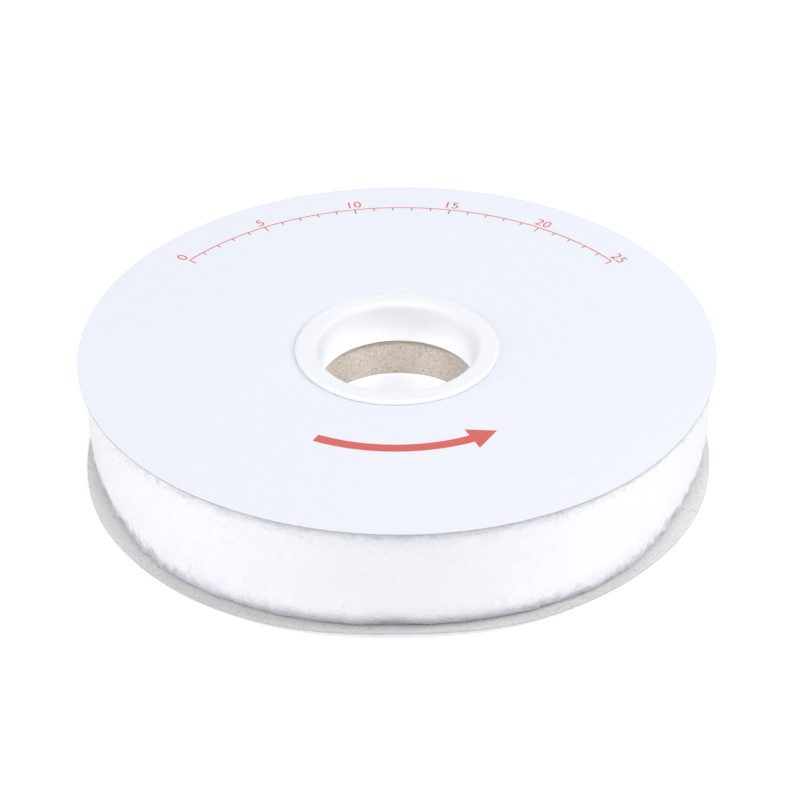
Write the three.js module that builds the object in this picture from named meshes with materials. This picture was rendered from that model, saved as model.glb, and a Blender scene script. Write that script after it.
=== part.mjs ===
// A shop roll of brushed loop tape: a spool of two card flanges, a paper core and two
// moulded bushes, wound full. Millimetres, +Z up. The spool stands on its lower bush,
// the origin is on its axis at the floor, and the tape's free end lies at the back (+Y).

import * as THREE from 'three';

// Tape
const TAPE_WIDTH = 50;
const BACKING_THICKNESS = 0.45;
const PRESSED_PILE_HEIGHT = 1;
const FREE_PILE_HEIGHT = 4.2;
const PILE_RISE_LENGTH = 15;
const PILE_SHOULDER = 10;
const SELVEDGE_WIDTH = 1.5;
const WINDING_GAP = 0.5;
const TAIL_LENGTH = 60;
const TAIL_TIP_ANGLE = 104;
const COVERED_SEAM_LENGTH = 94;

// Core and the strip that fixes the tape's first end on it
const CORE_BORE = 72;
const CORE_WALL = 5;
const START_TAPE_LENGTH = 25;
const START_TAPE_HEIGHT = 44;
const START_TAPE_THICKNESS = 0.25;

// Card flanges, and how far they stand out past the full roll
const FLANGE_DIAMETER = 276;
const FLANGE_OVERHANG = 1.8;
const BOARD_THICKNESS = 0.7;
const LINER_THICKNESS = 0.12;

// Moulded bushes
const RIM_OVERLAP = 8.2;
const RIM_THICKNESS = 2;
const RIM_EDGE_RADIUS = 1.4;
const LIP_RADIUS = 3;
const SLEEVE_DEPTH = 17.4;
const SLEEVE_MOUTH_WALL = 1.2;
const SLEEVE_TIP_WALL = 2.2;
const LEAD_IN_WIDTH = 0.7;
const LEAD_IN_LENGTH = 1.6;

// Clearances
const GLUE_FILM = 0.05;
const SLEEVE_FIT = 0.3;
const TAPE_SIDE_GAP = 0.35;
const TAPE_SEAT_GAP = 0.3;

// Facets
const STEPS_PER_TURN = 90;
const FLANGE_FACETS = 96;
const CORE_FACETS = 72;
const BUSH_FACETS = 64;
const ROUNDING_STEPS = 2;
const SHOULDER_STEPS = 3;
const START_TAPE_STEPS = 4;

const FULL_TURN = 2 * Math.PI;

// Winding: the tape's inner face lies on a spiral that grows by one pitch a turn. The pile is
// pressed flat between two turns and stands up freely on the outside of the roll.
const pitch = BACKING_THICKNESS + PRESSED_PILE_HEIGHT + WINDING_GAP;
const coreRadius = CORE_BORE / 2 + CORE_WALL;
const startTapeRadius = coreRadius + TAPE_SEAT_GAP;
const packBoreRadius = startTapeRadius + START_TAPE_THICKNESS + TAPE_SEAT_GAP;
const flangeRadius = FLANGE_DIAMETER / 2;
const rollRadius = flangeRadius - FLANGE_OVERHANG;
const tipRadius = rollRadius - FREE_PILE_HEIGHT - BACKING_THICKNESS;
const tapeLength = (Math.PI * (tipRadius ** 2 - packBoreRadius ** 2)) / pitch;

const stepAngle = FULL_TURN / STEPS_PER_TURN;
const tipAngle = FULL_TURN + THREE.MathUtils.degToRad(TAIL_TIP_ANGLE);
const rootAngle = tipAngle - TAIL_LENGTH / rollRadius;
const coveredAngle = COVERED_SEAM_LENGTH / rollRadius;
const seamAngle = rootAngle - FULL_TURN - coveredAngle;
const seatAngle = TAPE_SEAT_GAP / rollRadius;
const uncoveredAngle = tipAngle - FULL_TURN + seatAngle;
const riseAngle = PILE_RISE_LENGTH / rollRadius;

// Stack of each end, outward from the core's end face
const coreLength = TAPE_WIDTH + 2 * TAPE_SIDE_GAP;
const boardSeat = GLUE_FILM;
const linerSeat = boardSeat + BOARD_THICKNESS + GLUE_FILM;
const rimSeat = linerSeat + LINER_THICKNESS + GLUE_FILM;
const coreBottom = rimSeat + RIM_THICKNESS;

const sleeveRadius = CORE_BORE / 2 - SLEEVE_FIT;

function finish(color, roughness) {
  return new THREE.MeshStandardMaterial({ color, roughness, metalness: 0 });
}

const mouldedPlastic = finish(0xf4f6fa, 0.4);
const coatedPaper = finish(0xeef1f8, 0.55);
const greyBoard = finish(0xb9b6b4, 0.95);
const brownBoard = finish(0xc6b3a4, 0.95);
const adhesiveFilm = finish(0xe6dfc8, 0.5);
const loopTape = finish(0xf5f6fa, 1);

function piece(name, geometry, material) {
  const mesh = new THREE.Mesh(geometry, material);
  mesh.name = name;
  return mesh;
}

// Turns a profile of (radius, height) points about the Z axis.
function turned(profile, facets) {
  const closed = [...profile, profile[0]];
  return new THREE.LatheGeometry(closed, facets).rotateX(Math.PI / 2);
}

function ring(innerRadius, outerRadius, height, facets) {
  const profile = [
    new THREE.Vector2(innerRadius, 0),
    new THREE.Vector2(outerRadius, 0),
    new THREE.Vector2(outerRadius, height),
    new THREE.Vector2(innerRadius, height),
  ];
  return turned(profile, facets);
}

// Bush: a flat rim with a rounded edge, a rounded lip and a drafted sleeve with a lead-in.
// Height 0 is the rim's seat on the flange, and the sleeve goes down from it.
function bushGeometry() {
  const rimRadius = CORE_BORE / 2 + RIM_OVERLAP;
  const edgeRadius = Math.min(RIM_EDGE_RADIUS, RIM_THICKNESS);
  const mouthRadius = sleeveRadius - SLEEVE_MOUTH_WALL;
  const tipBoreRadius = sleeveRadius - SLEEVE_TIP_WALL;
  const lipHeight = RIM_THICKNESS - LIP_RADIUS;
  const edgeHeight = RIM_THICKNESS - edgeRadius;

  const profile = new THREE.Path();
  profile.moveTo(tipBoreRadius, -SLEEVE_DEPTH);
  profile.lineTo(sleeveRadius - LEAD_IN_WIDTH, -SLEEVE_DEPTH);
  profile.lineTo(sleeveRadius, -SLEEVE_DEPTH + LEAD_IN_LENGTH);
  profile.lineTo(sleeveRadius, 0);
  profile.lineTo(rimRadius, 0);
  profile.lineTo(rimRadius, edgeHeight);
  profile.absarc(rimRadius - edgeRadius, edgeHeight, edgeRadius, 0, Math.PI / 2);
  profile.lineTo(mouthRadius + LIP_RADIUS, RIM_THICKNESS);
  profile.absarc(mouthRadius + LIP_RADIUS, lipHeight, LIP_RADIUS, Math.PI / 2, Math.PI);
  return turned(withoutRepeats(profile.getPoints(ROUNDING_STEPS)), BUSH_FACETS);
}

// Drops a point that a line and an arc share, so that the profile has each corner once.
function withoutRepeats(points) {
  const nearest = 1e-6;
  return points.filter((point, i) => i === 0 || point.distanceTo(points[i - 1]) > nearest);
}

// One end of the spool, outward along +Z from the core's end face: board, paper and bush.
function spoolEnd(side) {
  const end = new THREE.Group();
  const holeRadius = CORE_BORE / 2;

  const boardShape = ring(holeRadius, flangeRadius, BOARD_THICKNESS, FLANGE_FACETS);
  const board = piece(`${side}_flange_board`, boardShape, greyBoard);
  board.position.z = boardSeat;

  const linerShape = ring(holeRadius, flangeRadius, LINER_THICKNESS, FLANGE_FACETS);
  const liner = piece(`${side}_flange_liner`, linerShape, coatedPaper);
  liner.position.z = linerSeat;

  const bush = piece(`${side}_bush`, bushGeometry(), mouldedPlastic);
  bush.position.z = rimSeat;

  end.add(board, liner, bush);
  return end;
}

// The strip of adhesive lies on the core, under the tape's first turn.
function startTape() {
  const halfAngle = START_TAPE_LENGTH / startTapeRadius / 2;
  const outline = new THREE.Shape();
  outline.absarc(0, 0, startTapeRadius + START_TAPE_THICKNESS, -halfAngle, halfAngle);
  outline.absarc(0, 0, startTapeRadius, halfAngle, -halfAngle, true);
  const settings = { depth: START_TAPE_HEIGHT, bevelEnabled: false, curveSegments: START_TAPE_STEPS };
  const strip = piece('core_start_tape', new THREE.ExtrudeGeometry(outline, settings), adhesiveFilm);
  strip.position.z = (coreLength - START_TAPE_HEIGHT) / 2;
  return strip;
}

// Radius of the tape's inner face at an angle along the winding.
function spiralRadius(angle) {
  return tipRadius - (pitch * (tipAngle - angle)) / FULL_TURN;
}

// Height of the outer layer's pile at an angle: pressed as far as the tail covers it, then free.
function pileHeight(angle) {
  const rise = THREE.MathUtils.smoothstep(angle, uncoveredAngle, uncoveredAngle + riseAngle);
  return THREE.MathUtils.lerp(PRESSED_PILE_HEIGHT, FREE_PILE_HEIGHT, rise);
}

// Angles of a stretch of the winding: its two ends, and between them the same steps on every
// turn, so that the facets of one turn lie along those of the next.
function windingAngles(fromAngle, toAngle) {
  const shortestStep = stepAngle / 4;
  const angles = [fromAngle];
  let angle = Math.ceil((fromAngle + shortestStep) / stepAngle) * stepAngle;
  while (angle < toAngle - shortestStep) {
    angles.push(angle);
    angle += stepAngle;
  }
  angles.push(toAngle);
  return angles;
}

// The turns below the outer layer, whose face is the spiral with one step at the seam.
function innerTurns() {
  const outlinePoints = windingAngles(seamAngle, seamAngle + FULL_TURN).map((angle) => {
    const radius = spiralRadius(angle) - WINDING_GAP;
    return new THREE.Vector2(radius * Math.cos(angle), radius * Math.sin(angle));
  });
  const outline = new THREE.Shape(outlinePoints);
  const bore = new THREE.Path();
  bore.absarc(0, 0, packBoreRadius, 0, FULL_TURN, true);
  outline.holes.push(bore);
  const settings = { depth: TAPE_WIDTH, bevelEnabled: false, curveSegments: CORE_FACETS };
  return piece('tape_inner_turns', new THREE.ExtrudeGeometry(outline, settings), loopTape);
}

// Section of the tape as (height above its inner face, place across its width): the backing
// with its two bare selvedges, and the pile between them with rounded shoulders.
function tapeSection(pile) {
  const section = new THREE.Path();
  const thickness = BACKING_THICKNESS + pile;
  const nearEdge = SELVEDGE_WIDTH;
  const farEdge = TAPE_WIDTH - SELVEDGE_WIDTH;
  section.moveTo(0, 0);
  section.lineTo(BACKING_THICKNESS, 0);
  section.lineTo(BACKING_THICKNESS, nearEdge);
  section.quadraticCurveTo(thickness, nearEdge, thickness, nearEdge + PILE_SHOULDER);
  section.lineTo(thickness, farEdge - PILE_SHOULDER);
  section.quadraticCurveTo(thickness, farEdge, BACKING_THICKNESS, farEdge);
  section.lineTo(BACKING_THICKNESS, TAPE_WIDTH);
  section.lineTo(0, TAPE_WIDTH);
  return withoutRepeats(section.getPoints(SHOULDER_STEPS));
}

// Sweeps the tape's section along the spiral between two angles.
function tapeAlongSpiral(fromAngle, toAngle) {
  const angles = windingAngles(fromAngle, toAngle);
  const sections = angles.map((angle) => tapeSection(pileHeight(angle)));
  const corners = sections[0].length;
  const steps = angles.length - 1;
  const positions = [];
  angles.forEach((angle, step) => {
    for (const point of sections[step]) {
      const radius = spiralRadius(angle) + point.x;
      positions.push(radius * Math.cos(angle), radius * Math.sin(angle), point.y);
    }
  });

  const triangles = [];
  for (let step = 0; step < steps; step += 1) {
    for (let corner = 0; corner < corners; corner += 1) {
      const here = step * corners + corner;
      const next = step * corners + ((corner + 1) % corners);
      triangles.push(here, here + corners, next);
      triangles.push(next, here + corners, next + corners);
    }
  }
  for (const [a, b, c] of THREE.ShapeUtils.triangulateShape(sections[0], [])) {
    triangles.push(a, b, c);
  }
  const last = steps * corners;
  for (const [a, b, c] of THREE.ShapeUtils.triangulateShape(sections[steps], [])) {
    triangles.push(last + a, last + c, last + b);
  }

  const geometry = new THREE.BufferGeometry();
  geometry.setAttribute('position', new THREE.Float32BufferAttribute(positions, 3));
  geometry.setIndex(triangles);
  return geometry;
}

// The outer layer, one unbroken strip that starts at the seam and overlaps its own start.
function outerTurn() {
  const geometry = tapeAlongSpiral(seamAngle + seatAngle, rootAngle - seatAngle);
  return piece('tape_outer_turn', geometry, loopTape);
}

// The free end, which lifts about its root.
function tail() {
  return piece('tape_tail', tapeAlongSpiral(rootAngle, tipAngle), loopTape);
}

// Least distance between a point on the strip's outer face and one on the turn that covers it.
function leastGapToItself() {
  const points = 200;
  const overlapAngle = tipAngle - FULL_TURN - seamAngle;
  let least = Infinity;
  for (let i = 0; i <= points; i += 1) {
    const lower = seamAngle + (i * overlapAngle) / points;
    const lowerRadius = spiralRadius(lower) + BACKING_THICKNESS + pileHeight(lower);
    for (let j = 0; j <= points; j += 1) {
      const upper = seamAngle + FULL_TURN + (j * overlapAngle) / points;
      const upperRadius = spiralRadius(upper);
      const dx = upperRadius * Math.cos(upper) - lowerRadius * Math.cos(lower);
      const dy = upperRadius * Math.sin(upper) - lowerRadius * Math.sin(lower);
      least = Math.min(least, Math.hypot(dx, dy));
    }
  }
  return least;
}

const core = piece('core_tube', ring(CORE_BORE / 2, coreRadius, coreLength, CORE_FACETS), brownBoard);

const tape = new THREE.Group();
tape.position.z = TAPE_SIDE_GAP;
tape.add(innerTurns(), outerTurn(), tail());

const topEnd = spoolEnd('top');
topEnd.position.z = coreLength;

const bottomEnd = spoolEnd('bottom');
bottomEnd.rotation.x = Math.PI;

const roll = new THREE.Group();
roll.position.z = coreBottom;
roll.add(core, startTape(), tape, topEnd, bottomEnd);

const part = new THREE.Group();
part.add(roll);

const hingeRadius = spiralRadius(rootAngle) + BACKING_THICKNESS + FREE_PILE_HEIGHT;
const hingeX = hingeRadius * Math.cos(rootAngle);
const hingeY = hingeRadius * Math.sin(rootAngle);
console.log('length of the tape, mm:', tapeLength.toFixed(0));
console.log('least gap of the winding to itself, mm:', leastGapToItself().toFixed(3));
console.log('axis of the tail at x, y, mm:', hingeX.toFixed(3), hingeY.toFixed(3));

export default part;
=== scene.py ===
from math import atan, atan2, cos, pi, radians, sin, tan

import bpy
import numpy as np
from mathutils import Matrix, Vector


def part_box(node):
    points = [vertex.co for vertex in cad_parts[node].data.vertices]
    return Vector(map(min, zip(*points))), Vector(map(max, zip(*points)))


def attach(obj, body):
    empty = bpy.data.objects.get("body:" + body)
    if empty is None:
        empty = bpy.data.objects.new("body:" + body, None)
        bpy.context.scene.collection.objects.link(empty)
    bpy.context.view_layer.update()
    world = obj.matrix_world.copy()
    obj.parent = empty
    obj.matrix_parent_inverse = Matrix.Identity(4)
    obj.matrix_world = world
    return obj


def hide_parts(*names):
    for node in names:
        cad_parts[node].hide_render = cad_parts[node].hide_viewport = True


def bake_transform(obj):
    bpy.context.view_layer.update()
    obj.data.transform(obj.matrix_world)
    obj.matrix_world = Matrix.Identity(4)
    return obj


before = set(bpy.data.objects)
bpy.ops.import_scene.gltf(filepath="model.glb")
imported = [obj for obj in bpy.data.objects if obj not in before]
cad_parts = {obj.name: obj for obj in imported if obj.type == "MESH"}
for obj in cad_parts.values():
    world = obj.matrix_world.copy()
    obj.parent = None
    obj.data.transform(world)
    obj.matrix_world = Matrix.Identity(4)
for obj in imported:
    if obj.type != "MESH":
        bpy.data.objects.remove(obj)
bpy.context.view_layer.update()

# Sizes of the object are in millimetres and become metres where a mesh is made.
MM = 0.001
FULL_TURN = 2 * pi

# Tape and its winding
TAPE_WIDTH = 50.0
BACKING = 0.45
PRESSED_PILE = 1.0
FREE_PILE = 4.2
PILE_RISE = 15.0
SELVEDGE = 0.35
PITCH = 1.95
ROLL_RADIUS = 136.2
BORE_RADIUS = 41.85
TAIL_LENGTH = 60.0
TAIL_TIP_ANGLE = radians(104)
COVERED_SEAM = 94.0
SEAT_GAP = 0.3
TURN_LENGTH = FULL_TURN * ROLL_RADIUS
ROOT_ANGLE = TAIL_TIP_ANGLE - TAIL_LENGTH / ROLL_RADIUS
TIP_RADIUS = ROLL_RADIUS - FREE_PILE - BACKING
ROOT_RADIUS = TIP_RADIUS - PITCH * TAIL_LENGTH / TURN_LENGTH

# Places along the winding, measured from the tail's root at the roll's radius
SEAM = -TURN_LENGTH - COVERED_SEAM
UNCOVERED = TAIL_LENGTH - TURN_LENGTH + SEAT_GAP
PACK_START = (BORE_RADIUS - ROOT_RADIUS) / PITCH * TURN_LENGTH

# Spool
HOLE_RADIUS = 36.0
CORE_RADIUS = 41.0
RIM_RADIUS = 44.2
RIM_THICKNESS = 2.0
RIM_EDGE_RADIUS = 1.8
RIM_FOOT_RADIUS = 0.35
LIP_RADIUS = 3.0
SLEEVE_RADIUS = 35.7
SLEEVE_DEPTH = 17.4
MOUTH_RADIUS = 34.5
TIP_BORE_RADIUS = 33.5
TIP_EDGE_RADIUS = 0.3
LEAD_IN_WIDTH = 0.7
LEAD_IN_LENGTH = 1.6
LEAD_IN_EDGE_RADIUS = 0.2
BOARD_EDGE_RADIUS = 0.12
PAPER_EDGE_RADIUS = 0.03
CORE_EDGE_RADIUS = 0.2

# Fineness of the turned pieces
BUSH_SEGMENTS = 256
CORE_SEGMENTS = 256
FLANGE_SEGMENTS = 360
BUSH_ARC_STEPS = 10
CARD_ARC_STEPS = 4
CORE_LONGEST_EDGE = 5.0
FLANGE_LONGEST_EDGE = 8.0


def heights(node):
    """Lowest and highest point of a CAD node."""
    low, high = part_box(node)
    return low.z / MM, high.z / MM


FLANGE_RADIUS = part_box("top_flange_liner")[1].x / MM
TAPE_BOTTOM = heights("tape_inner_turns")[0]
TOP_FACE = heights("top_flange_liner")[1]


# Meshes

def grid_faces(rows, columns, close_rows=False, close_columns=False):
    """Quads of a grid of points that is stored row by row."""
    i = np.arange(rows if close_rows else rows - 1)
    j = np.arange(columns if close_columns else columns - 1)
    i, j = np.meshgrid(i, j, indexing="ij")
    next_i = (i + 1) % rows
    next_j = (j + 1) % columns
    corners = [i * columns + j, next_i * columns + j, next_i * columns + next_j, i * columns + next_j]
    return np.stack(corners, -1).reshape(-1, 4)


def mesh_object(name, points, faces, material, sharp_angle=40):
    """A smooth-shaded mesh object with one material. Edges over sharp_angle degrees stay sharp."""
    mesh = bpy.data.meshes.new(name)
    mesh.from_pydata((np.asarray(points) * MM).tolist(), [], faces)
    mesh.polygons.foreach_set("use_smooth", np.ones(len(mesh.polygons), bool))
    mesh.set_sharp_from_angle(angle=radians(sharp_angle))
    mesh.materials.append(material)
    mesh.update()
    item = bpy.data.objects.new(name, mesh)
    bpy.context.scene.collection.objects.link(item)
    return item


def add_uv(item, map_name, coordinates):
    """Adds a UV map from one (u, v) pair for each point of the mesh."""
    mesh = item.data
    layer = mesh.uv_layers.new(name=map_name)
    corner_points = np.zeros(len(mesh.loops), np.int32)
    mesh.loops.foreach_get("vertex_index", corner_points)
    layer.data.foreach_set("uv", coordinates[corner_points].astype(np.float32).ravel())


def rounded(corners, steps):
    """A closed profile of (radius, height) points with each (radius, height, rounding) corner as an arc."""
    # A point this share of the rounding beside each end of an arc keeps the shading of flat faces even.
    support = 0.25
    points = []
    for i, (radius, height, rounding) in enumerate(corners):
        here = Vector((radius, height))
        if rounding == 0:
            points.append(here)
            continue
        back = (Vector(corners[i - 1][:2]) - here).normalized()
        on = (Vector(corners[(i + 1) % len(corners)][:2]) - here).normalized()
        half = back.angle(on) / 2
        reach = rounding / tan(half)
        centre = here + (back + on).normalized() * (rounding / sin(half))
        start = here + back * reach
        end = here + on * reach
        from_angle = atan2(start.y - centre.y, start.x - centre.x)
        sweep = atan2(end.y - centre.y, end.x - centre.x) - from_angle
        sweep = (sweep + pi) % FULL_TURN - pi
        points.append(start + back * rounding * support)
        for step in range(steps + 1):
            angle = from_angle + sweep * step / steps
            points.append(centre + Vector((cos(angle), sin(angle))) * rounding)
        points.append(end + on * rounding * support)
    return np.array(points)


def ring_profile(inner, outer, low, high, rounding, longest):
    """Profile of a flat ring or tube with rounded edges and its long sides cut into steps."""
    corners = [
        (inner, low, rounding),
        (outer, low, rounding),
        (outer, high, rounding),
        (inner, high, rounding),
    ]
    profile = rounded(corners, CARD_ARC_STEPS)
    points = []
    for here, there in zip(profile, np.roll(profile, -1, axis=0)):
        steps = max(1, int(np.ceil(np.linalg.norm(there - here) / longest)))
        for step in range(steps):
            points.append(here + (there - here) * step / steps)
    return np.array(points)


def turned(name, profile, segments, material, warp=None):
    """A profile turned about the spool's axis. It runs anticlockwise as seen with the radius to the right."""
    angle = (np.arange(segments) * FULL_TURN / segments)[:, None]
    radius = np.repeat(profile[None, :, 0], segments, axis=0)
    height = np.repeat(profile[None, :, 1], segments, axis=0)
    if warp:
        radius, height = warp(angle, radius, height)
    points = np.stack([radius * np.cos(angle), radius * np.sin(angle), height], -1).reshape(-1, 3)
    faces = grid_faces(segments, len(profile), True, True).tolist()
    return mesh_object(name, points, faces, material)


def eased(share):
    """A share from 0 to 1 with a soft start and end."""
    return share * share * (3 - 2 * share)


# Points on each side of the square of random values that soft_noise repeats
LATTICE = 512


def soft_noise(along, across, cell, seed):
    """Smooth random values from -1 to 1, the same at the same place in every call."""
    values = np.random.default_rng(seed).uniform(-1, 1, (LATTICE, LATTICE))
    a, b = np.broadcast_arrays(np.asarray(along) / cell, np.asarray(across) / cell)
    a0 = np.floor(a).astype(int)
    b0 = np.floor(b).astype(int)
    share_a = eased(a - a0)
    share_b = eased(b - b0)
    a1 = (a0 + 1) % LATTICE
    b1 = (b0 + 1) % LATTICE
    a0 = a0 % LATTICE
    b0 = b0 % LATTICE
    near = values[a0, b0] * (1 - share_a) + values[a1, b0] * share_a
    far = values[a0, b1] * (1 - share_a) + values[a1, b1] * share_a
    return near * (1 - share_b) + far * share_b


# Shader nodes

# Most values of a noise texture lie between these two.
NOISE_LOW = 0.3
NOISE_HIGH = 0.7

# Places of a colour mix among its node's inputs and outputs, several of which share a name
MIX_FACTOR = 0
MIX_FIRST = 6
MIX_SECOND = 7
MIX_RESULT = 2

# UV map of the tape's pieces: places along and across the tape in millimetres
WEAVE_MAP = "Weave"


def add_node(tree, kind, inputs=None, **settings):
    """A shader node with its settings, and its inputs either set or linked."""
    node = tree.nodes.new(kind)
    for key, value in settings.items():
        setattr(node, key, value)
    for key, value in (inputs or {}).items():
        if isinstance(value, bpy.types.NodeSocket):
            tree.links.new(value, node.inputs[key])
        else:
            node.inputs[key].default_value = value
    return node


def new_material(name):
    """A material with its node tree and its shader."""
    material = bpy.data.materials.new(name)
    material.use_nodes = True
    tree = material.node_tree
    return material, tree, tree.nodes["Principled BSDF"]


def link_surface(tree, shader, colour, roughness, normal):
    """Links what varies over a surface to its shader."""
    tree.links.new(colour, shader.inputs["Base Color"])
    tree.links.new(roughness, shader.inputs["Roughness"])
    tree.links.new(normal, shader.inputs["Normal"])


def object_place(tree):
    """Place on the object in metres."""
    return add_node(tree, "ShaderNodeTexCoord").outputs["Object"]


def tape_place(tree):
    """Place along the tape as X and across it as Y, in millimetres."""
    return add_node(tree, "ShaderNodeUVMap", uv_map=WEAVE_MAP).outputs["UV"]


def part_of(tree, vector, axis):
    """The X, Y or Z of a vector."""
    return add_node(tree, "ShaderNodeSeparateXYZ", {"Vector": vector}).outputs[axis]


def noise(tree, place, scale, detail=3.0, roughness=0.55, distortion=0.0):
    """Values of a noise texture."""
    inputs = {
        "Vector": place,
        "Scale": scale,
        "Detail": detail,
        "Roughness": roughness,
        "Distortion": distortion,
    }
    return add_node(tree, "ShaderNodeTexNoise", inputs).outputs["Fac"]


def ramp(tree, factor, stops):
    """Colours from (position, colour) stops along a factor."""
    node = add_node(tree, "ShaderNodeValToRGB", {"Fac": factor})
    elements = node.color_ramp.elements
    elements.remove(elements[1])
    first_position, first_colour = stops[0]
    elements[0].position = first_position
    elements[0].color = (*first_colour, 1)
    for position, colour in stops[1:]:
        elements.new(position).color = (*colour, 1)
    return node.outputs["Color"]


def two_tone(tree, factor, dark, light):
    """A colour that goes from dark to light over a noise texture's range."""
    return ramp(tree, factor, [(NOISE_LOW, dark), (NOISE_HIGH, light)])


def mixed(tree, factor, first, second, blend="MIX"):
    """First colour with the second over it."""
    node = add_node(tree, "ShaderNodeMix", data_type="RGBA", blend_type=blend)
    for key, value in ((MIX_FACTOR, factor), (MIX_FIRST, first), (MIX_SECOND, second)):
        if isinstance(value, bpy.types.NodeSocket):
            tree.links.new(value, node.inputs[key])
        else:
            node.inputs[key].default_value = value if key == MIX_FACTOR else (*value, 1)
    return node.outputs[MIX_RESULT]


def maths(tree, operation, first, second=0.0):
    """One sum on one or two values."""
    return add_node(tree, "ShaderNodeMath", {0: first, 1: second}, operation=operation).outputs[0]


def range_of(tree, value, from_low, from_high, to_low=0.0, to_high=1.0):
    """A value taken from one range to another."""
    inputs = {
        "Value": value,
        "From Min": from_low,
        "From Max": from_high,
        "To Min": to_low,
        "To Max": to_high,
    }
    return add_node(tree, "ShaderNodeMapRange", inputs).outputs[0]


def over_noise(tree, factor, low, high):
    """A value that goes from low to high over a noise texture's range."""
    return range_of(tree, factor, NOISE_LOW, NOISE_HIGH, low, high)


def bump(tree, height, strength, distance):
    """A surface direction from heights, with the distance in millimetres."""
    inputs = {"Height": height, "Strength": strength, "Distance": distance * MM}
    return add_node(tree, "ShaderNodeBump", inputs).outputs["Normal"]


# Materials

def moulded_plastic():
    """White satin plastic with faint clouds and a fine moulded grain."""
    material, tree, shader = new_material("moulded_plastic")
    place = object_place(tree)
    clouds = noise(tree, place, scale=45, detail=4)
    patches = noise(tree, place, scale=320)
    grain = noise(tree, place, scale=1800, detail=2)
    link_surface(
        tree,
        shader,
        colour=two_tone(tree, clouds, dark=(0.907, 0.932, 0.985), light=(0.917, 0.942, 0.99)),
        roughness=over_noise(tree, patches, low=0.45, high=0.6),
        normal=bump(tree, grain, strength=0.08, distance=0.08),
    )
    shader.inputs["Specular IOR Level"].default_value = 0.08
    shader.inputs["Subsurface Weight"].default_value = 0.3
    shader.inputs["Subsurface Radius"].default_value = (1.0, 1.0, 1.0)
    shader.inputs["Subsurface Scale"].default_value = 3.0 * MM
    return material


def coated_paper():
    """Cool white paper with a faint mottle and fine fibres."""
    material, tree, shader = new_material("coated_paper")
    place = object_place(tree)
    mottle = noise(tree, place, scale=160, detail=6, roughness=0.7)
    fibres = noise(tree, place, scale=2400, detail=3, roughness=0.6, distortion=0.6)
    link_surface(
        tree,
        shader,
        colour=two_tone(tree, mottle, dark=(0.855, 0.88, 0.957), light=(0.873, 0.899, 0.972)),
        roughness=over_noise(tree, mottle, low=0.55, high=0.7),
        normal=bump(tree, fibres, strength=0.12, distance=0.05),
    )
    shader.inputs["Specular IOR Level"].default_value = 0.12
    return material


def front_shading(tree, place, front_painted_shade):
    """Painted shade: a grey that goes from the level given for the front at the flange's front to white
    further back, for the shade that falls on the card's front.
    """
    white_from = 0.3
    depth = part_of(tree, place, "Y")
    front = -FLANGE_RADIUS * MM
    shade = range_of(tree, depth, front, -white_from * FLANGE_RADIUS * MM, front_painted_shade, 1.0)
    return ramp(tree, shade, [(0.0, (0, 0, 0)), (1.0, (1, 1, 1))])


def steep_faces(tree):
    """1 on upright faces and 0 on flat ones."""
    steep = 0.35
    flat = 0.6
    normal = add_node(tree, "ShaderNodeNewGeometry").outputs["True Normal"]
    upward = maths(tree, "ABSOLUTE", part_of(tree, normal, "Z"))
    return range_of(tree, upward, steep, flat, 1.0, 0.0)


def chipboard(name, dark, light, fleck, pale, front_painted_shade=1.0, cut_edge=None):
    """Raw recycled board with a fine mottle, flecks and pale fibres.

    Painted shade greys it towards the front, down to the level given for the front, and its cut edges have
    the colour cut_edge where one is given.
    """
    spot_from = 0.57
    spot_full = 0.68
    material, tree, shader = new_material(name)
    place = object_place(tree)
    ground = noise(tree, place, scale=600, detail=8, roughness=0.8)
    specks = noise(tree, place, scale=1000, detail=3, roughness=0.6, distortion=0.8)
    fibres = noise(tree, place, scale=750, detail=3, roughness=0.6, distortion=2.0)
    pulp = noise(tree, place, scale=1300, detail=5, roughness=0.7)
    colour = two_tone(tree, ground, dark, light)
    for spots, tint in ((specks, fleck), (fibres, pale)):
        colour = mixed(tree, range_of(tree, spots, spot_from, spot_full), colour, tint)
    # Painted shade: the colour is multiplied by a grey that darkens the board towards the front.
    colour = mixed(tree, 1.0, colour, front_shading(tree, place, front_painted_shade), "MULTIPLY")
    if cut_edge:
        colour = mixed(tree, steep_faces(tree), colour, cut_edge)
    link_surface(
        tree,
        shader,
        colour=colour,
        roughness=over_noise(tree, ground, low=0.85, high=1.0),
        normal=bump(tree, pulp, strength=0.35, distance=0.12),
    )
    shader.inputs["Specular IOR Level"].default_value = 0.15
    return material


def root_fade(tree, value):
    """A value that falls to nothing at the tail's root, where two pieces of the pile meet."""
    fade_length = 9.0
    from_root = maths(tree, "ABSOLUTE", part_of(tree, tape_place(tree), "X"))
    return range_of(tree, from_root, 0.0, fade_length, 0.0, value)


def brushed_pile(name, scatter_weight):
    """White napped loops with a soft mottle, a fine fuzz and no gloss, which can let some light through."""
    material, tree, shader = new_material(name)
    place = object_place(tree)
    mottle = noise(tree, place, scale=330, detail=5, roughness=0.65)
    fuzz = noise(tree, place, scale=1700, detail=4, roughness=0.7, distortion=1.2)
    link_surface(
        tree,
        shader,
        colour=two_tone(tree, mottle, dark=(0.84, 0.85, 0.9), light=(0.865, 0.875, 0.925)),
        roughness=over_noise(tree, mottle, low=0.9, high=1.0),
        normal=bump(tree, fuzz, strength=0.2, distance=0.15),
    )
    if scatter_weight:
        tree.links.new(root_fade(tree, scatter_weight), shader.inputs["Subsurface Weight"])
    shader.inputs["Specular IOR Level"].default_value = 0.1
    shader.inputs["Subsurface Radius"].default_value = (1.0, 1.0, 1.0)
    shader.inputs["Subsurface Scale"].default_value = 4.0 * MM
    shader.inputs["Sheen Weight"].default_value = 0.25
    shader.inputs["Sheen Roughness"].default_value = 0.6
    return material


def yarn_wave(tree, place, axis, yarn):
    """A wave along one axis of the tape, half a wave for each yarn."""
    return maths(tree, "SINE", maths(tree, "MULTIPLY", part_of(tree, place, axis), FULL_TURN / (2 * yarn)))


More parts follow.
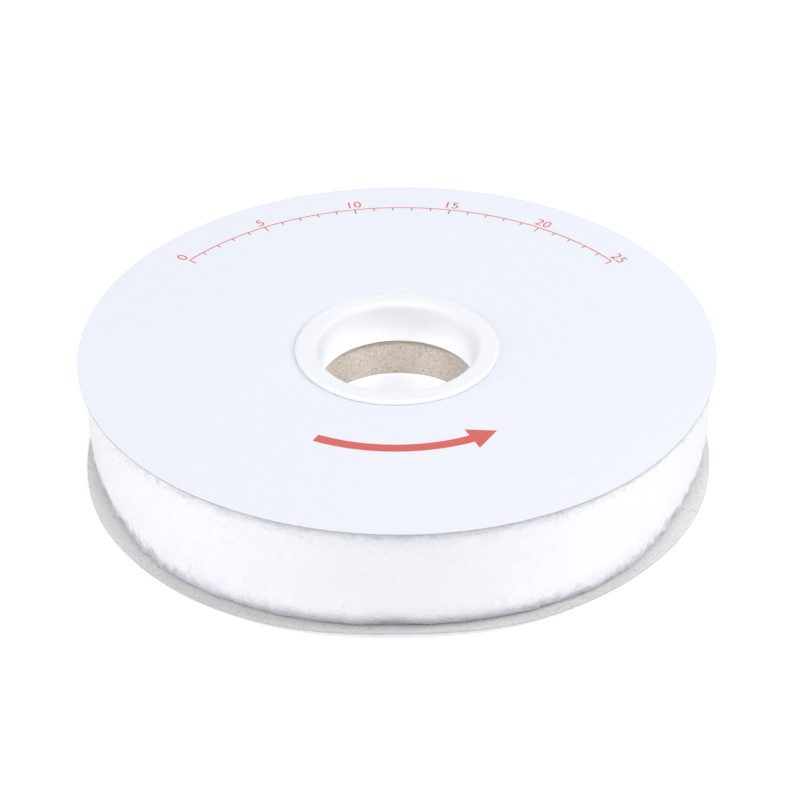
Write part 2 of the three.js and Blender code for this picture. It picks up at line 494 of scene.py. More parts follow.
def woven_backing():
    """White woven ground of the tape, with its yarns laid out along and across it and painted shade in the
    valleys between them.
    """
    warp_yarn = 0.55
    weft_yarn = 0.7
    material, tree, shader = new_material("woven_backing")
    place = tape_place(tree)
    weft = yarn_wave(tree, place, "X", weft_yarn)
    warp = yarn_wave(tree, place, "Y", warp_yarn)
    yarns = maths(tree, "MULTIPLY", weft, warp)
    # Painted shade: the valleys between the yarns are coloured darker.
    painted_valley_shade = range_of(tree, yarns, -1.0, 0.2, 0.35, 0.0)
    mottle = noise(tree, object_place(tree), scale=300, detail=4)
    yarn_colour = two_tone(tree, mottle, dark=(0.82, 0.815, 0.83), light=(0.88, 0.875, 0.89))
    link_surface(
        tree,
        shader,
        colour=mixed(tree, painted_valley_shade, yarn_colour, (0.62, 0.61, 0.62)),
        roughness=range_of(tree, yarns, -1.0, 1.0, 0.95, 0.7),
        normal=bump(tree, yarns, strength=0.6, distance=0.12),
    )
    shader.inputs["Specular IOR Level"].default_value = 0.2
    shader.inputs["Sheen Weight"].default_value = 0.15
    return material


def adhesive_strip():
    """Cream crepe paper strip with fine wrinkles."""
    material, tree, shader = new_material("adhesive_strip")
    wrinkles = noise(tree, object_place(tree), scale=900, detail=4, roughness=0.6, distortion=0.8)
    link_surface(
        tree,
        shader,
        colour=two_tone(tree, wrinkles, dark=(0.78, 0.73, 0.59), light=(0.86, 0.82, 0.7)),
        roughness=over_noise(tree, wrinkles, low=0.5, high=0.75),
        normal=bump(tree, wrinkles, strength=0.4, distance=0.1),
    )
    return material


def printed_ink():
    """Red printing ink, slightly uneven where the paper shows through."""
    material, tree, shader = new_material("printed_ink")
    place = object_place(tree)
    wear = noise(tree, place, scale=1500, detail=4, roughness=0.7)
    grain = noise(tree, place, scale=2400)
    link_surface(
        tree,
        shader,
        colour=ramp(tree, wear, [(0.35, (0.58, 0.055, 0.045)), (0.75, (0.68, 0.13, 0.11))]),
        roughness=over_noise(tree, wear, low=0.5, high=0.65),
        normal=bump(tree, grain, strength=0.1, distance=0.03),
    )
    return material


PLASTIC = moulded_plastic()
PAPER = coated_paper()
GREY_BOARD = chipboard(
    "grey_board",
    dark=(0.735, 0.715, 0.715),
    light=(0.845, 0.825, 0.825),
    fleck=(0.53, 0.51, 0.505),
    pale=(0.9, 0.89, 0.89),
    # Painted shade: the grey board is darkened at its front.
    front_painted_shade=0.82,
    cut_edge=(0.5, 0.49, 0.5),
)
CORE_BOARD = chipboard(
    "core_board",
    dark=(0.485, 0.42, 0.36),
    light=(0.65, 0.575, 0.51),
    fleck=(0.29, 0.235, 0.19),
    pale=(0.78, 0.71, 0.63),
)
PILE = brushed_pile("brushed_pile", scatter_weight=0.7)
LOOSE_LOOPS = brushed_pile("loose_loops", scatter_weight=0.0)
BACKING_WEAVE = woven_backing()
CREPE = adhesive_strip()
INK = printed_ink()


# Uneven places round the roll
# Each has an amount in millimetres, the angle of its middle and half its width in degrees.

# The upper card waves slightly, is bowed up at the front left and dips at the front right.
TOP_WAVE_LEVEL = 0.15
TOP_WAVE_SIZE = 0.1
TOP_WAVE_START = 0.8
TOP_BOW = (1.0, -118, 50)
TOP_DIP = (0.75, -42, 32)

# The lower card is cut slightly narrow at the sides, sags at the front left and is bent up at the front.
BOTTOM_NARROWS = ((1.5, 0, 28), (1.5, 180, 28))
BOTTOM_SAG_LEVEL = 0.1
BOTTOM_SAGS = ((1.1, -134, 30), (0.35, -40, 30))
BOTTOM_BEND = (2.5, -90, 26)

# Radii from which the cards bend and sag
BEND_START = 119.0
SAG_START = 122.0

# The bent card pushes the tape's lower edge up at the front, and the edge is drawn in at both sides.
EDGE_LIFT = (1.0, -90, 26)
EDGE_PINCHES = ((5.6, -162, 36), (7.2, -19, 36))
PINCH_REACH = 26.0


def swell(angle, *places):
    """Sum of uneven places at an angle: each falls smoothly to nothing at the ends of its width."""
    total = 0
    for most, middle, half_width in places:
        away = (np.degrees(angle) - middle + 180) % 360 - 180
        total = total + most * np.cos(np.clip(away / half_width, -1, 1) * pi / 2) ** 2
    return total


def reach_out(radius, start):
    """0 up to a radius, then rising as a bent card does to 1 at the flange's edge."""
    return np.clip((radius - start) / (FLANGE_RADIUS - start), 0, 1) ** 2


def top_warp(angle, radius, height):
    """Radius and height of a point of the upper card, from those of the flat one."""
    wave = TOP_WAVE_LEVEL + TOP_WAVE_SIZE * np.sin(2 * angle + TOP_WAVE_START)
    bow = wave + swell(angle, TOP_BOW)
    dip = swell(angle, TOP_DIP)
    return radius, height + bow * reach_out(radius, RIM_RADIUS) - dip * reach_out(radius, SAG_START)


def bottom_warp(angle, radius, height):
    """Radius and height of a point of the lower card, from those of the flat one."""
    narrow = swell(angle, *BOTTOM_NARROWS)
    sag = BOTTOM_SAG_LEVEL + swell(angle, *BOTTOM_SAGS)
    bent_up = swell(angle, BOTTOM_BEND)
    height = height + bent_up * reach_out(radius, BEND_START) - sag * reach_out(radius, SAG_START)
    return radius - narrow * reach_out(radius, BEND_START), height


# Spool

def show_for(item, *nodes):
    """Puts a piece on the roll in place of CAD nodes."""
    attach(item, "roll")
    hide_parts(*nodes)


def make_bush(side, outward):
    """Flanged ring with a sleeve in the core. Outward is 1 for the upper bush and -1 for the lower."""
    low, high = heights(f"{side}_bush")
    seat = high - RIM_THICKNESS if outward > 0 else low + RIM_THICKNESS
    corners = [
        (TIP_BORE_RADIUS, -SLEEVE_DEPTH, TIP_EDGE_RADIUS),
        (SLEEVE_RADIUS - LEAD_IN_WIDTH, -SLEEVE_DEPTH, LEAD_IN_EDGE_RADIUS),
        (SLEEVE_RADIUS, -SLEEVE_DEPTH + LEAD_IN_LENGTH, LEAD_IN_EDGE_RADIUS),
        (SLEEVE_RADIUS, 0, 0),
        (RIM_RADIUS, 0, RIM_FOOT_RADIUS),
        (RIM_RADIUS, RIM_THICKNESS, RIM_EDGE_RADIUS),
        (MOUTH_RADIUS, RIM_THICKNESS, LIP_RADIUS),
    ]
    profile = rounded(corners, BUSH_ARC_STEPS)
    profile[:, 1] = seat + outward * profile[:, 1]
    if outward < 0:
        profile = profile[::-1]
    show_for(turned(f"bush_{side}", profile, BUSH_SEGMENTS, PLASTIC), f"{side}_bush")


def make_flange(side, warp):
    """Board and its paper face, which are warped together."""
    layers = (
        ("board", BOARD_EDGE_RADIUS, GREY_BOARD, "grey_board"),
        ("liner", PAPER_EDGE_RADIUS, PAPER, "coated_paper"),
    )
    for layer, rounding, material, slot in layers:
        node = f"{side}_flange_{layer}"
        profile = ring_profile(HOLE_RADIUS, FLANGE_RADIUS, *heights(node), rounding, FLANGE_LONGEST_EDGE)
        show_for(turned(f"flange_{layer}_{side}", profile, FLANGE_SEGMENTS, material, warp), node)


def make_core():
    """Tube of wound paper between the two bushes."""
    low, high = heights("core_tube")
    profile = ring_profile(HOLE_RADIUS, CORE_RADIUS, low, high, CORE_EDGE_RADIUS, CORE_LONGEST_EDGE)
    show_for(turned("core", profile, CORE_SEGMENTS, CORE_BOARD), "core_tube")


make_bush("top", 1)
make_bush("bottom", -1)
make_flange("top", top_warp)
make_flange("bottom", bottom_warp)
make_core()

start_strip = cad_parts["core_start_tape"]
start_strip.data.materials.clear()
start_strip.data.materials.append(CREPE)


# Print on the upper paper: a plain scale of ticks and numbers, and an arrow in the direction of unwinding

PRINT_LIFT = 0.04
PRINT_LEVEL = TOP_FACE + PRINT_LIFT

SCALE_FROM = radians(141)
SCALE_TO = radians(36)
SCALE_STEPS = 25
SCALE_NUMBER_STEP = 5
SCALE_RADIUS = 119.0
SCALE_LINE_WIDTH = 0.6
SCALE_LINE_STEPS = 60
TICK_WIDTH = 0.6
TICK_LENGTH = 2.0
NUMBERED_TICK_LENGTH = 3.5
NUMBER_SIZE = 7.5
NUMBER_GAP = 2.0

ARROW_RADIUS = 76.0
ARROW_FROM = radians(-117)
ARROW_TO = radians(-66)
ARROW_HALF_BAND = 2.6
ARROW_HALF_HEAD = 7.5
ARROW_HEAD_LENGTH = 12.0
ARROW_STEPS = 40


def arc_band(inner, outer, start, end, steps):
    """Points and faces of a flat band between two radii and two angles."""
    angle = np.linspace(start, end, steps + 1)[:, None]
    radius = np.array([[inner, outer]])
    points = np.stack([radius * np.cos(angle), radius * np.sin(angle)], -1).reshape(-1, 2)
    return points, grid_faces(steps + 1, 2).tolist()


def number_shape(digits, size):
    """Points and faces of a number, centred on its base line."""
    curve = bpy.data.curves.new("number", "FONT")
    curve.body = digits
    curve.size = size
    curve.align_x = "CENTER"
    item = bpy.data.objects.new("number", curve)
    bpy.context.scene.collection.objects.link(item)
    bpy.context.view_layer.update()
    mesh = item.evaluated_get(bpy.context.evaluated_depsgraph_get()).to_mesh()
    points = np.array([corner.co[:2] for corner in mesh.vertices])
    faces = [list(face.vertices) for face in mesh.polygons]
    bpy.data.objects.remove(item)
    bpy.data.curves.remove(curve)
    return points, faces


def print_on_paper(name, shapes):
    """Flat (points, faces) shapes as one printed piece that follows the upper card."""
    all_points = []
    all_faces = []
    for points, faces in shapes:
        all_faces += [[corner + len(all_points) for corner in face] for face in faces]
        angle = np.arctan2(points[:, 1], points[:, 0])
        radius = np.hypot(points[:, 0], points[:, 1])
        level = top_warp(angle, radius, PRINT_LEVEL)[1]
        all_points += np.column_stack([points, level]).tolist()
    item = mesh_object(name, all_points, all_faces, INK)
    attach(item, "roll")


def make_scale():
    """Arc along the back of the paper, with ticks inside it and numbers outside."""
    shapes = []
    half_tick = TICK_WIDTH / 2 / SCALE_RADIUS
    for step in range(SCALE_STEPS + 1):
        middle = SCALE_FROM + (SCALE_TO - SCALE_FROM) * step / SCALE_STEPS
        numbered = step % SCALE_NUMBER_STEP == 0
        inner = SCALE_RADIUS - (NUMBERED_TICK_LENGTH if numbered else TICK_LENGTH)
        shapes.append(arc_band(inner, SCALE_RADIUS, middle - half_tick, middle + half_tick, 1))
        if numbered:
            points, faces = number_shape(str(step), NUMBER_SIZE)
            outward = np.array([cos(middle), sin(middle)])
            onward = np.array([sin(middle), -cos(middle)])
            place = outward * (SCALE_RADIUS + NUMBER_GAP)
            shapes.append((place + points[:, :1] * onward + points[:, 1:] * outward, faces))
    outer = SCALE_RADIUS + SCALE_LINE_WIDTH
    shapes.append(arc_band(SCALE_RADIUS, outer, SCALE_FROM, SCALE_TO, SCALE_LINE_STEPS))
    print_on_paper("flange_scale", shapes)


def make_arrow():
    """Curved arrow on the front of the paper."""
    inner = ARROW_RADIUS - ARROW_HALF_BAND
    outer = ARROW_RADIUS + ARROW_HALF_BAND
    band = arc_band(inner, outer, ARROW_FROM, ARROW_TO, ARROW_STEPS)
    corners = [
        (ARROW_RADIUS - ARROW_HALF_HEAD, ARROW_TO),
        (ARROW_RADIUS + ARROW_HALF_HEAD, ARROW_TO),
        (ARROW_RADIUS, ARROW_TO + ARROW_HEAD_LENGTH / ARROW_RADIUS),
    ]
    head = np.array([(radius * cos(angle), radius * sin(angle)) for radius, angle in corners])
    print_on_paper("flange_arrow", [band, (head, [[0, 1, 2]])])


make_scale()
make_arrow()


# Tape: surfaces

# The pile's edges wander by this much over a cell of this length.
EDGE_WANDER = 0.35
WANDER_CELL = 4.5
LOW_EDGE_SEED = 11
HIGH_EDGE_SEED = 12

# The lower edge steps back at one place at the front.
FRONT_NOTCH = (1.8, -90.5, 7)

# The lower shoulder is short at the sides and long at the front. The upper one ends in a tight corner.
LOWER_SHOULDER = 12.0
SIDE_SHOULDER = 1.8
FRONT_SHOULDER = (LOWER_SHOULDER - SIDE_SHOULDER, -90, 55)
LOWER_FULLNESS = 0.7
UPPER_SHOULDER = 5.0
UPPER_FULLNESS = 0.8
CORNER = 0.5

# Height of the surface as a share of the pile's height, with lumps of several cells, shares and seeds
LOFT = 0.96
LUMPS = ((22.0, 0.025, 20), (9.0, 0.025, 21), (3.6, 0.015, 22), (1.7, 0.01, 23))

# Tufts stand out over the lower part of the pile, the most at the two sides.
TUFT_HEIGHT = 0.5
TUFT_DEPTH = 0.4
TUFT_SIZE = 1.6
TUFT_STRETCH = 2.5
TUFT_REACH = 18.0
TUFT_SEED = 24
TUFTS = ((1.8, -168, 50), (1.8, -12, 50))

# The pile floats this far over the woven ground.
PILE_LIFT = 0.02


def wind(along, across, height):
    """Points in space from places along and across the tape and heights over its inner face."""
    angle = ROOT_ANGLE + along / ROLL_RADIUS
    wound = ROOT_RADIUS + PITCH * along / TURN_LENGTH
    lift = swell(angle, EDGE_LIFT)
    level = TAPE_BOTTOM + across + lift * (1 - across / TAPE_WIDTH) ** 2
    pinch = swell(angle, *EDGE_PINCHES)
    outward = (wound - BORE_RADIUS) / (ROOT_RADIUS - BORE_RADIUS)
    radius = wound + height - outward * pinch * np.clip(1 - across / PINCH_REACH, 0, 1) ** 2
    x, y, z = np.broadcast_arrays(radius * np.cos(angle), radius * np.sin(angle), level)
    return np.stack([x, y, z], -1)


def pile_height(along):
    """Pressed under the tail, then rising to its free height."""
    rise = eased(np.clip((along - UNCOVERED) / PILE_RISE, 0, 1))
    return PRESSED_PILE + (FREE_PILE - PRESSED_PILE) * rise


def pile_top(along, across):
    """Height of the brushed surface over the tape's inner face."""
    angle = ROOT_ANGLE + along / ROLL_RADIUS
    low_wander = EDGE_WANDER * soft_noise(along, 0.0, WANDER_CELL, LOW_EDGE_SEED)
    high_wander = EDGE_WANDER * soft_noise(along, 0.0, WANDER_CELL, HIGH_EDGE_SEED)
    low_edge = SELVEDGE + swell(angle, FRONT_NOTCH) + low_wander
    high_edge = TAPE_WIDTH - SELVEDGE + high_wander

    low = np.clip((across - low_edge) / (SIDE_SHOULDER + swell(angle, FRONT_SHOULDER)), 0, 1)
    high = np.clip((high_edge - across) / UPPER_SHOULDER, 0, 1)
    corner = np.sqrt(np.clip((high_edge - across) / CORNER, 0, 1))
    lower_crown = (1 - (1 - low) ** 2) ** LOWER_FULLNESS
    upper_crown = corner * (1 - (1 - UPPER_FULLNESS) * (1 - high) ** 2)
    crown = lower_crown * upper_crown

    tuft_height = TUFT_HEIGHT + swell(angle, *TUFTS)
    tufted = np.sqrt(low) * np.clip(1 - across / TUFT_REACH, 0, 1)
    tufts = tuft_height * tufted * soft_noise(along, across / TUFT_STRETCH, TUFT_SIZE, TUFT_SEED)
    lumps = sum(share * soft_noise(along, across, cell, seed) for cell, share, seed in LUMPS)
    brushed = crown * pile_height(along) * (LOFT + lumps)
    return BACKING + PILE_LIFT + brushed + np.maximum(tufts, -TUFT_DEPTH)


# Tape: strips

def strip(name, along, across, height, material):
    """A closed strip: one section of (across, height) points at each place along the tape."""
    rows, columns = height.shape
    points = wind(along[:, None], across[None, :], height).reshape(-1, 3)
    faces = grid_faces(rows, columns, False, True).tolist()
    last = (rows - 1) * columns
    faces.append(list(range(columns)))
    faces.append(list(range(last + columns - 1, last - 1, -1)))
    item = mesh_object(name, points, faces, material, sharp_angle=60)
    around = np.arange(columns) / columns
    part = np.linspace(0, 1, rows)
    bake = np.stack(np.broadcast_arrays(part[:, None], around[None, :]), -1).reshape(-1, 2)
    add_uv(item, "OFBake", bake)
    on_tape = np.stack(np.broadcast_arrays(along[:, None], across[None, :]), -1).reshape(-1, 2)
    add_uv(item, WEAVE_MAP, on_tape)
    return item


def even_places(start, end, step):
    """Evenly spaced places from start to end, no further apart than a step."""
    return np.linspace(start, end, max(2, int(np.ceil((end - start) / step)) + 1))


def make_backing(name, start, end, thickness, step):
    """A flat woven strip with softened edges. Heights in its section are shares of its thickness."""
    soft = 0.15
    edge_low = 0.3
    edge_high = 0.8
    far = TAPE_WIDTH - soft
    section = np.array([
        (0, edge_low),
        (0, edge_high),
        (soft, 1),
        (SELVEDGE, 1),
        (TAPE_WIDTH - SELVEDGE, 1),
        (far, 1),
        (TAPE_WIDTH, edge_high),
        (TAPE_WIDTH, edge_low),
        (far, 0),
        (soft, 0),
    ])
    along = even_places(start, end, step)
    height = np.repeat(section[None, :, 1] * thickness, len(along), axis=0)
    return strip(name, along, section[:, 0], height, BACKING_WEAVE)


def pile_columns():
    """Places across the pile, closest together at its two edges."""
    beyond = EDGE_WANDER + 0.05
    shoulder_columns = 20
    middle_columns = 44
    crowding = 1.4
    lowest = SELVEDGE - beyond
    highest = TAPE_WIDTH - SELVEDGE + beyond
    spacing = np.linspace(0, 1, shoulder_columns) ** crowding
    low = lowest + (LOWER_SHOULDER + 2 * EDGE_WANDER) * spacing
    high = highest - (UPPER_SHOULDER + 2 * EDGE_WANDER) * spacing[::-1]
    middle = np.linspace(low[-1], high[0], middle_columns)[1:-1]
    return np.concatenate([low, middle, high])


def make_pile(name, start, end):
    """The brushed surface of loops, closed underneath where it sits on the woven ground."""
    step = 0.8
    along = even_places(start, end, step)
    across = pile_columns()
    height = pile_top(along[:, None], across[None, :])
    height[:, [0, -1]] = BACKING + PILE_LIFT / 2
    return strip(name, along, across, height, PILE)


# Tape: loose loops

FIBRE_RADIUS = 0.035
FIBRE_SIDES = 3
FIBRE_TIP_SHARE = 0.35
PILE_MARGIN = SELVEDGE + EDGE_WANDER

# Ranges of the loops' sizes. Those along the pile's edges stand higher and are thicker.
LOOP_SPAN = (1.2, 2.6)
LOOP_RISE = (0.02, 0.07)
LOOP_SWAY = 0.35
LOOP_STEPS = 4
EDGE_RISE = 13.0
EDGE_THICKNESS = 2.2
EDGE_SHARE = 0.65
LOWER_EDGE_SHARE = 0.85
EDGE_SPREAD = 3.0

CURLS_AT_FRONT = 14
CURLS_ELSEWHERE = 40
CURL_FRONT_STRETCH = (-16, 12)
CURL_ROOT_GAP = 4.0
CURL_ACROSS = (0.8, 6.0)
CURL_SPAN = (2.5, 6.0)
CURL_RISE = (0.6, 1.6)
CURL_SWAY = 0.5
CURL_STEPS = 12
CURL_SEED = 71


def fibre_paths(along, across, turn, span, rise, sway, thick, step):
    """Bent paths over the pile with their ends sunk in it, as places along, across and over the tape."""
    probe = 0.15
    forward = (step - 0.5) * span[:, None]
    sideways = np.sin(FULL_TURN * step) * (sway * span)[:, None]
    turn = turn[:, None]
    a = along[:, None] + np.cos(turn) * forward - np.sin(turn) * sideways
    b = across[:, None] + np.sin(turn) * forward + np.cos(turn) * sideways
    b = np.clip(b, PILE_MARGIN, TAPE_WIDTH - PILE_MARGIN)
    slope = (pile_top(a, b + probe) - pile_top(a, b - probe)) / (2 * probe)
    steepness = np.sqrt(1 + slope ** 2)
    stand = rise[:, None] * 4 * step * (1 - step) - thick[:, None]
    return np.stack([a, b - stand * slope / steepness, pile_top(a, b) + stand / steepness], -1)


def make_fibres(name, along, across, turn, span, rise, sway, thick, steps):
    """Fine bent fibres on the pile, each a three-sided tube that starts and ends in the surface."""
    step = np.linspace(0, 1, steps + 1)[None, :]
    path = fibre_paths(along, across, turn, span, rise, sway, thick, step)
    tangent = np.gradient(path, axis=1)
    tangent /= np.linalg.norm(tangent, axis=-1, keepdims=True)
    side = np.cross(tangent, np.array([0.0, 0.0, 1.0]))
    side /= np.linalg.norm(side, axis=-1, keepdims=True)
    lift = np.cross(side, tangent)
    taper = FIBRE_TIP_SHARE + (1 - FIBRE_TIP_SHARE) * np.sin(pi * step)
    width = (thick[:, None] * taper)[..., None]
    rings = []
    for corner in range(FIBRE_SIDES):
        angle = FULL_TURN * corner / FIBRE_SIDES
        rings.append(path + width * (cos(angle) * side + sin(angle) * lift))
    local = np.stack(rings, 2).reshape(-1, 3)
    points = wind(local[:, 0], local[:, 1], local[:, 2])

    tube = grid_faces(steps + 1, FIBRE_SIDES, False, True)
    per_fibre = (steps + 1) * FIBRE_SIDES
    starts = np.arange(len(along)) * per_fibre
    sides = (tube[None] + starts[:, None, None]).reshape(-1, 4).tolist()
    caps = np.array([[0, 1, 2], [per_fibre - 1, per_fibre - 2, per_fibre - 3]])
    caps = (caps[None] + starts[:, None, None]).reshape(-1, 3).tolist()
    item = mesh_object(name, points, sides + caps, LOOSE_LOOPS, sharp_angle=180)
    bake = np.stack([(local[:, 0] - along.min()) / np.ptp(along), local[:, 1] / TAPE_WIDTH], -1)
    add_uv(item, "OFBake", np.clip(bake, 0, 1))
    add_uv(item, WEAVE_MAP, local[:, :2])
    return item


def scatter(name, start, end, count, seed):
    """Loops over the whole pile, with more of them along its two edges."""
    rng = np.random.default_rng(seed)
    across = rng.uniform(PILE_MARGIN, TAPE_WIDTH - PILE_MARGIN, count)
    at_edge = rng.random(count) < EDGE_SHARE
    from_edge = PILE_MARGIN + np.abs(rng.normal(0, EDGE_SPREAD, count))
    from_edge = np.where(rng.random(count) < LOWER_EDGE_SHARE, from_edge, TAPE_WIDTH - from_edge)
    across = np.where(at_edge, from_edge, across)
    along = rng.uniform(start, end, count)
    turn = rng.uniform(0, FULL_TURN, count)
    span = rng.uniform(*LOOP_SPAN, count)
    rise = rng.uniform(*LOOP_RISE, count) * np.where(at_edge, EDGE_RISE, 1.0)
    sway = rng.uniform(-LOOP_SWAY, LOOP_SWAY, count)
    thick = FIBRE_RADIUS * np.where(at_edge, EDGE_THICKNESS, 1.0)
    return make_fibres(name, along, across, turn, span, rise, sway, thick, LOOP_STEPS)


def stray_curls(name):
    """Long pulled fibres along the lower edge, closest together at the front."""
    rng = np.random.default_rng(CURL_SEED)
    front = (radians(-90) - ROOT_ANGLE) * ROLL_RADIUS
    along = np.concatenate([
        front + rng.uniform(*CURL_FRONT_STRETCH, CURLS_AT_FRONT),
        rng.uniform(UNCOVERED + PILE_RISE, -CURL_ROOT_GAP, CURLS_ELSEWHERE),
    ])
    count = len(along)
    across = SELVEDGE + rng.uniform(*CURL_ACROSS, count)
    turn = rng.uniform(0, FULL_TURN, count)
    span = rng.uniform(*CURL_SPAN, count)
    rise = rng.uniform(*CURL_RISE, count)
    sway = rng.uniform(-CURL_SWAY, CURL_SWAY, count)
    thick = np.full(count, FIBRE_RADIUS * EDGE_THICKNESS)
    return make_fibres(name, along, across, turn, span, rise, sway, thick, CURL_STEPS)


# Tape: pieces

# Lengths of the woven strips' steps
WOUND_STEP = 12.0
OUTER_STEP = 2.5
TAIL_STEP = 2.0

# The outer layer ends this far before the tail's root.
ROOT_GAP = 0.02

# Loops on each stretch of the pile, and the seed of each stretch
LOOP_SECTORS = 4
SECTOR_LOOPS = 6000
SECTOR_SEED = 40
COVERED_LOOPS = 700
COVERED_SEED = 50
TAIL_LOOPS = 1700
TAIL_SEED = 60

# Distances from the ends of a stretch that stay free of loops
SEAM_MARGIN = 5.0
TAIL_ROOT_MARGIN = 1.5
TAIL_TIP_MARGIN = 1.0


def make_inner_turns():
    """All the turns under the outer layer as one spiral strip."""
    inner = make_backing("tape_wound_turns", PACK_START, SEAM - SEAT_GAP, BACKING + PRESSED_PILE, WOUND_STEP)
    show_for(inner, "tape_inner_turns")


def make_outer_layer():
    """The outer layer: woven ground, pile, loose loops and stray curls."""
    items = [
        make_backing("tape_outer_backing", SEAM, -ROOT_GAP, BACKING, OUTER_STEP),
        make_pile("tape_outer_pile", SEAM, -ROOT_GAP),
    ]
    free_start = UNCOVERED + PILE_RISE / 2
    ends = np.linspace(free_start, 0, LOOP_SECTORS + 1)
    for sector in range(LOOP_SECTORS):
        name = f"tape_outer_loops_{sector + 1}"
        items.append(scatter(name, ends[sector], ends[sector + 1], SECTOR_LOOPS, SECTOR_SEED + sector))
    items.append(scatter("tape_covered_loops", SEAM + SEAM_MARGIN, free_start, COVERED_LOOPS, COVERED_SEED))
    items.append(stray_curls("tape_stray_curls"))
    for item in items:
        show_for(item, "tape_outer_turn")


def make_tail():
    """The free end of the tape."""
    loops_end = TAIL_LENGTH - TAIL_TIP_MARGIN
    items = [
        make_backing("tape_tail_backing", 0, TAIL_LENGTH, BACKING, TAIL_STEP),
        make_pile("tape_tail_pile", 0, TAIL_LENGTH),
        scatter("tape_tail_loops", TAIL_ROOT_MARGIN, loops_end, TAIL_LOOPS, TAIL_SEED),
    ]
    hinge = Vector(wind(0.0, TAPE_WIDTH / 2, BACKING + FREE_PILE)) * MM
    for item in items:
        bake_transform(item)
        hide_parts("tape_tail")


make_inner_turns()
make_outer_layer()
make_tail()


# Stage, in metres

CAMERA_ELEVATION = radians(32.88)
CAMERA_DISTANCE = 1.656
CAMERA_ROLL = radians(0.65)
FOCAL_PIXELS = 3829.0
FRAME_PIXELS = 800.0
TOP_CENTRE_PIXEL = (397.1, 349.1)
SENSOR_WIDTH = 36.0
FARTHEST_SEEN = 100.0

FLOOR_HALF_WIDTH = 12.0
FLOOR_LIT = (0.92, 0.92, 0.92, 1)
FLOOR_SEEN = (0.75, 0.75, 0.75, 1)
FLOOR_GLOW = 0.45
WORLD_STRENGTH = 0.03

ROLL_MIDDLE = Vector((0, 0, 0.03))
BORE_MOUTH = Vector((0, 0, TOP_FACE * MM))
BORE_LAMP_BLEND = 0.5
BORE_LAMP_RADIUS = 0.003


def make_camera():
    """Camera at the photograph's angle, turned so that the top face's centre falls on its pixel."""
    data = bpy.data.cameras.new("camera")
    data.sensor_width = SENSOR_WIDTH
    data.lens = FOCAL_PIXELS * SENSOR_WIDTH / FRAME_PIXELS
    data.clip_end = FARTHEST_SEEN
    camera = bpy.data.objects.new("camera", data)
    bpy.context.scene.collection.objects.link(camera)

    target = Vector((0, 0, TOP_FACE * MM))
    away = Vector((0, -cos(CAMERA_ELEVATION), sin(CAMERA_ELEVATION)))
    place = Matrix.Translation(target + away * CAMERA_DISTANCE)
    look = (-away).to_track_quat("-Z", "Y").to_matrix().to_4x4()

    right = TOP_CENTRE_PIXEL[0] - FRAME_PIXELS / 2
    up = FRAME_PIXELS / 2 - TOP_CENTRE_PIXEL[1]
    offset = Matrix.Rotation(-CAMERA_ROLL, 2) @ Vector((right, up))
    pitch = Matrix.Rotation(-atan(offset.y / FOCAL_PIXELS), 4, "X")
    yaw = Matrix.Rotation(atan(offset.x / FOCAL_PIXELS), 4, "Y")
    roll = Matrix.Rotation(-CAMERA_ROLL, 4, "Z")
    camera.matrix_world = place @ look @ pitch @ yaw @ roll
    bpy.context.scene.camera = camera


def background_rays(tree):
    """1 for rays that show the background itself: from the camera, in a reflection or through glass."""
    path = add_node(tree, "ShaderNodeLightPath").outputs
    seen = maths(tree, "MAXIMUM", path["Is Camera Ray"], path["Is Glossy Ray"])
    return maths(tree, "MAXIMUM", seen, path["Is Transmission Ray"])


def floor_material():
    """White that glows slightly where the camera sees it."""
    material = bpy.data.materials.new("floor")
    material.use_nodes = True
    tree = material.node_tree
    tree.nodes.clear()
    lit = add_node(tree, "ShaderNodeBsdfDiffuse", {"Color": FLOOR_LIT})
    seen = add_node(tree, "ShaderNodeBsdfDiffuse", {"Color": FLOOR_SEEN})
    glow = add_node(tree, "ShaderNodeEmission", {"Strength": FLOOR_GLOW})
    bright = add_node(tree, "ShaderNodeAddShader", {0: seen.outputs[0], 1: glow.outputs[0]})
    inputs = {0: background_rays(tree), 1: lit.outputs[0], 2: bright.outputs[0]}
    both = add_node(tree, "ShaderNodeMixShader", inputs)
    add_node(tree, "ShaderNodeOutputMaterial", {"Surface": both.outputs[0]})
    return material


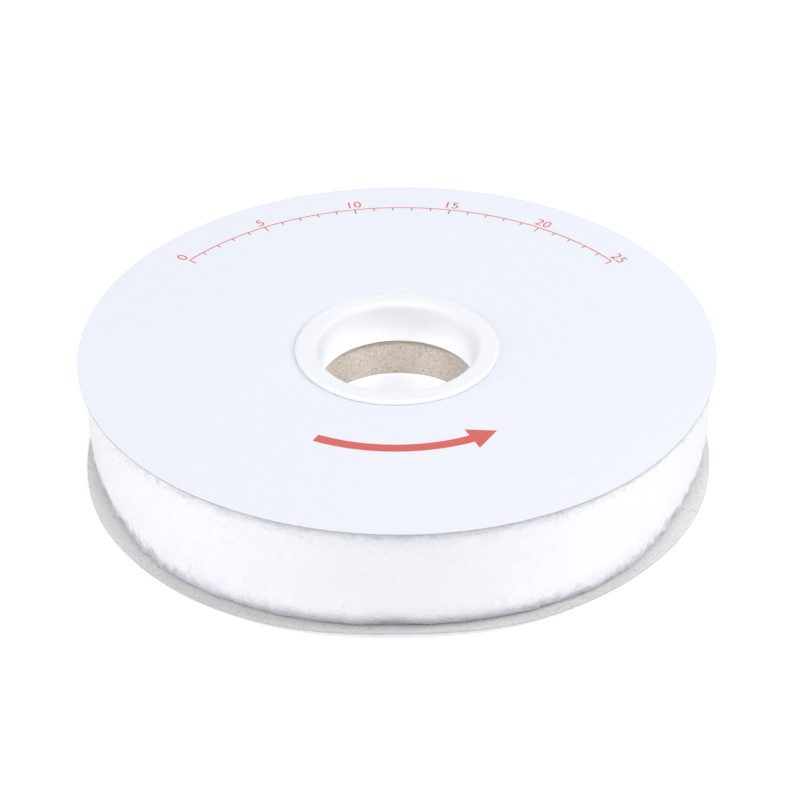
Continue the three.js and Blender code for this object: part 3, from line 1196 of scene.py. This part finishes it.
def make_floor():
    """Plain white floor that shows the soft shadow."""
    half = FLOOR_HALF_WIDTH
    corners = [(-half, -half, 0), (half, -half, 0), (half, half, 0), (-half, half, 0)]
    mesh = bpy.data.meshes.new("floor")
    mesh.from_pydata(corners, [], [(0, 1, 2, 3)])
    mesh.materials.append(floor_material())
    floor = bpy.data.objects.new("floor", mesh)
    bpy.context.scene.collection.objects.link(floor)


def make_world():
    """Dim even surroundings, plain white where the camera sees them."""
    world = bpy.data.worlds.new("surroundings")
    world.use_nodes = True
    tree = world.node_tree
    tree.nodes.clear()
    level = range_of(tree, background_rays(tree), 0, 1, WORLD_STRENGTH, 1.0)
    light = add_node(tree, "ShaderNodeBackground", {"Color": (1, 1, 1, 1), "Strength": level})
    add_node(tree, "ShaderNodeOutputWorld", {"Surface": light.outputs[0]})
    bpy.context.scene.world = world


def hang_lamp(data, place, target):
    """Puts a lamp at its place and turns it to its target."""
    lamp = bpy.data.objects.new(data.name, data)
    lamp.location = place
    lamp.rotation_euler = (target - Vector(place)).to_track_quat("-Z", "Y").to_euler()
    bpy.context.scene.collection.objects.link(lamp)


def make_lamp(name, place, width, power):
    """A soft square lamp that faces the roll."""
    data = bpy.data.lights.new(name, "AREA")
    data.size = width
    data.energy = power
    hang_lamp(data, place, ROLL_MIDDLE)


def make_bore_lamp(name, place, degrees, power):
    """A narrow lamp whose beam goes into the bore."""
    data = bpy.data.lights.new(name, "SPOT")
    data.spot_size = radians(degrees)
    data.spot_blend = BORE_LAMP_BLEND
    data.shadow_soft_size = BORE_LAMP_RADIUS
    data.energy = power
    hang_lamp(data, place, BORE_MOUTH)


make_camera()
make_floor()
make_world()
make_lamp("lamp_left", place=(-2.54, -0.3, 0.95), width=1.6, power=37)
make_lamp("lamp_right", place=(2.15, -0.3, 1.62), width=1.6, power=43)
make_lamp("lamp_front", place=(0, -3.06, 2.8), width=3.0, power=114)
make_lamp("lamp_back", place=(0, 2.55, 1.06), width=1.6, power=22)
make_bore_lamp("lamp_bore", place=(0, -1.566, 2.378), degrees=1.05, power=112)
make_bore_lamp("lamp_bore_left", place=(-1.32, -1.108, 2.263), degrees=0.6, power=110)
make_bore_lamp("lamp_bore_right", place=(1.32, -1.108, 2.263), degrees=0.6, power=85)
bpy.context.scene.view_settings.view_transform = "Standard"
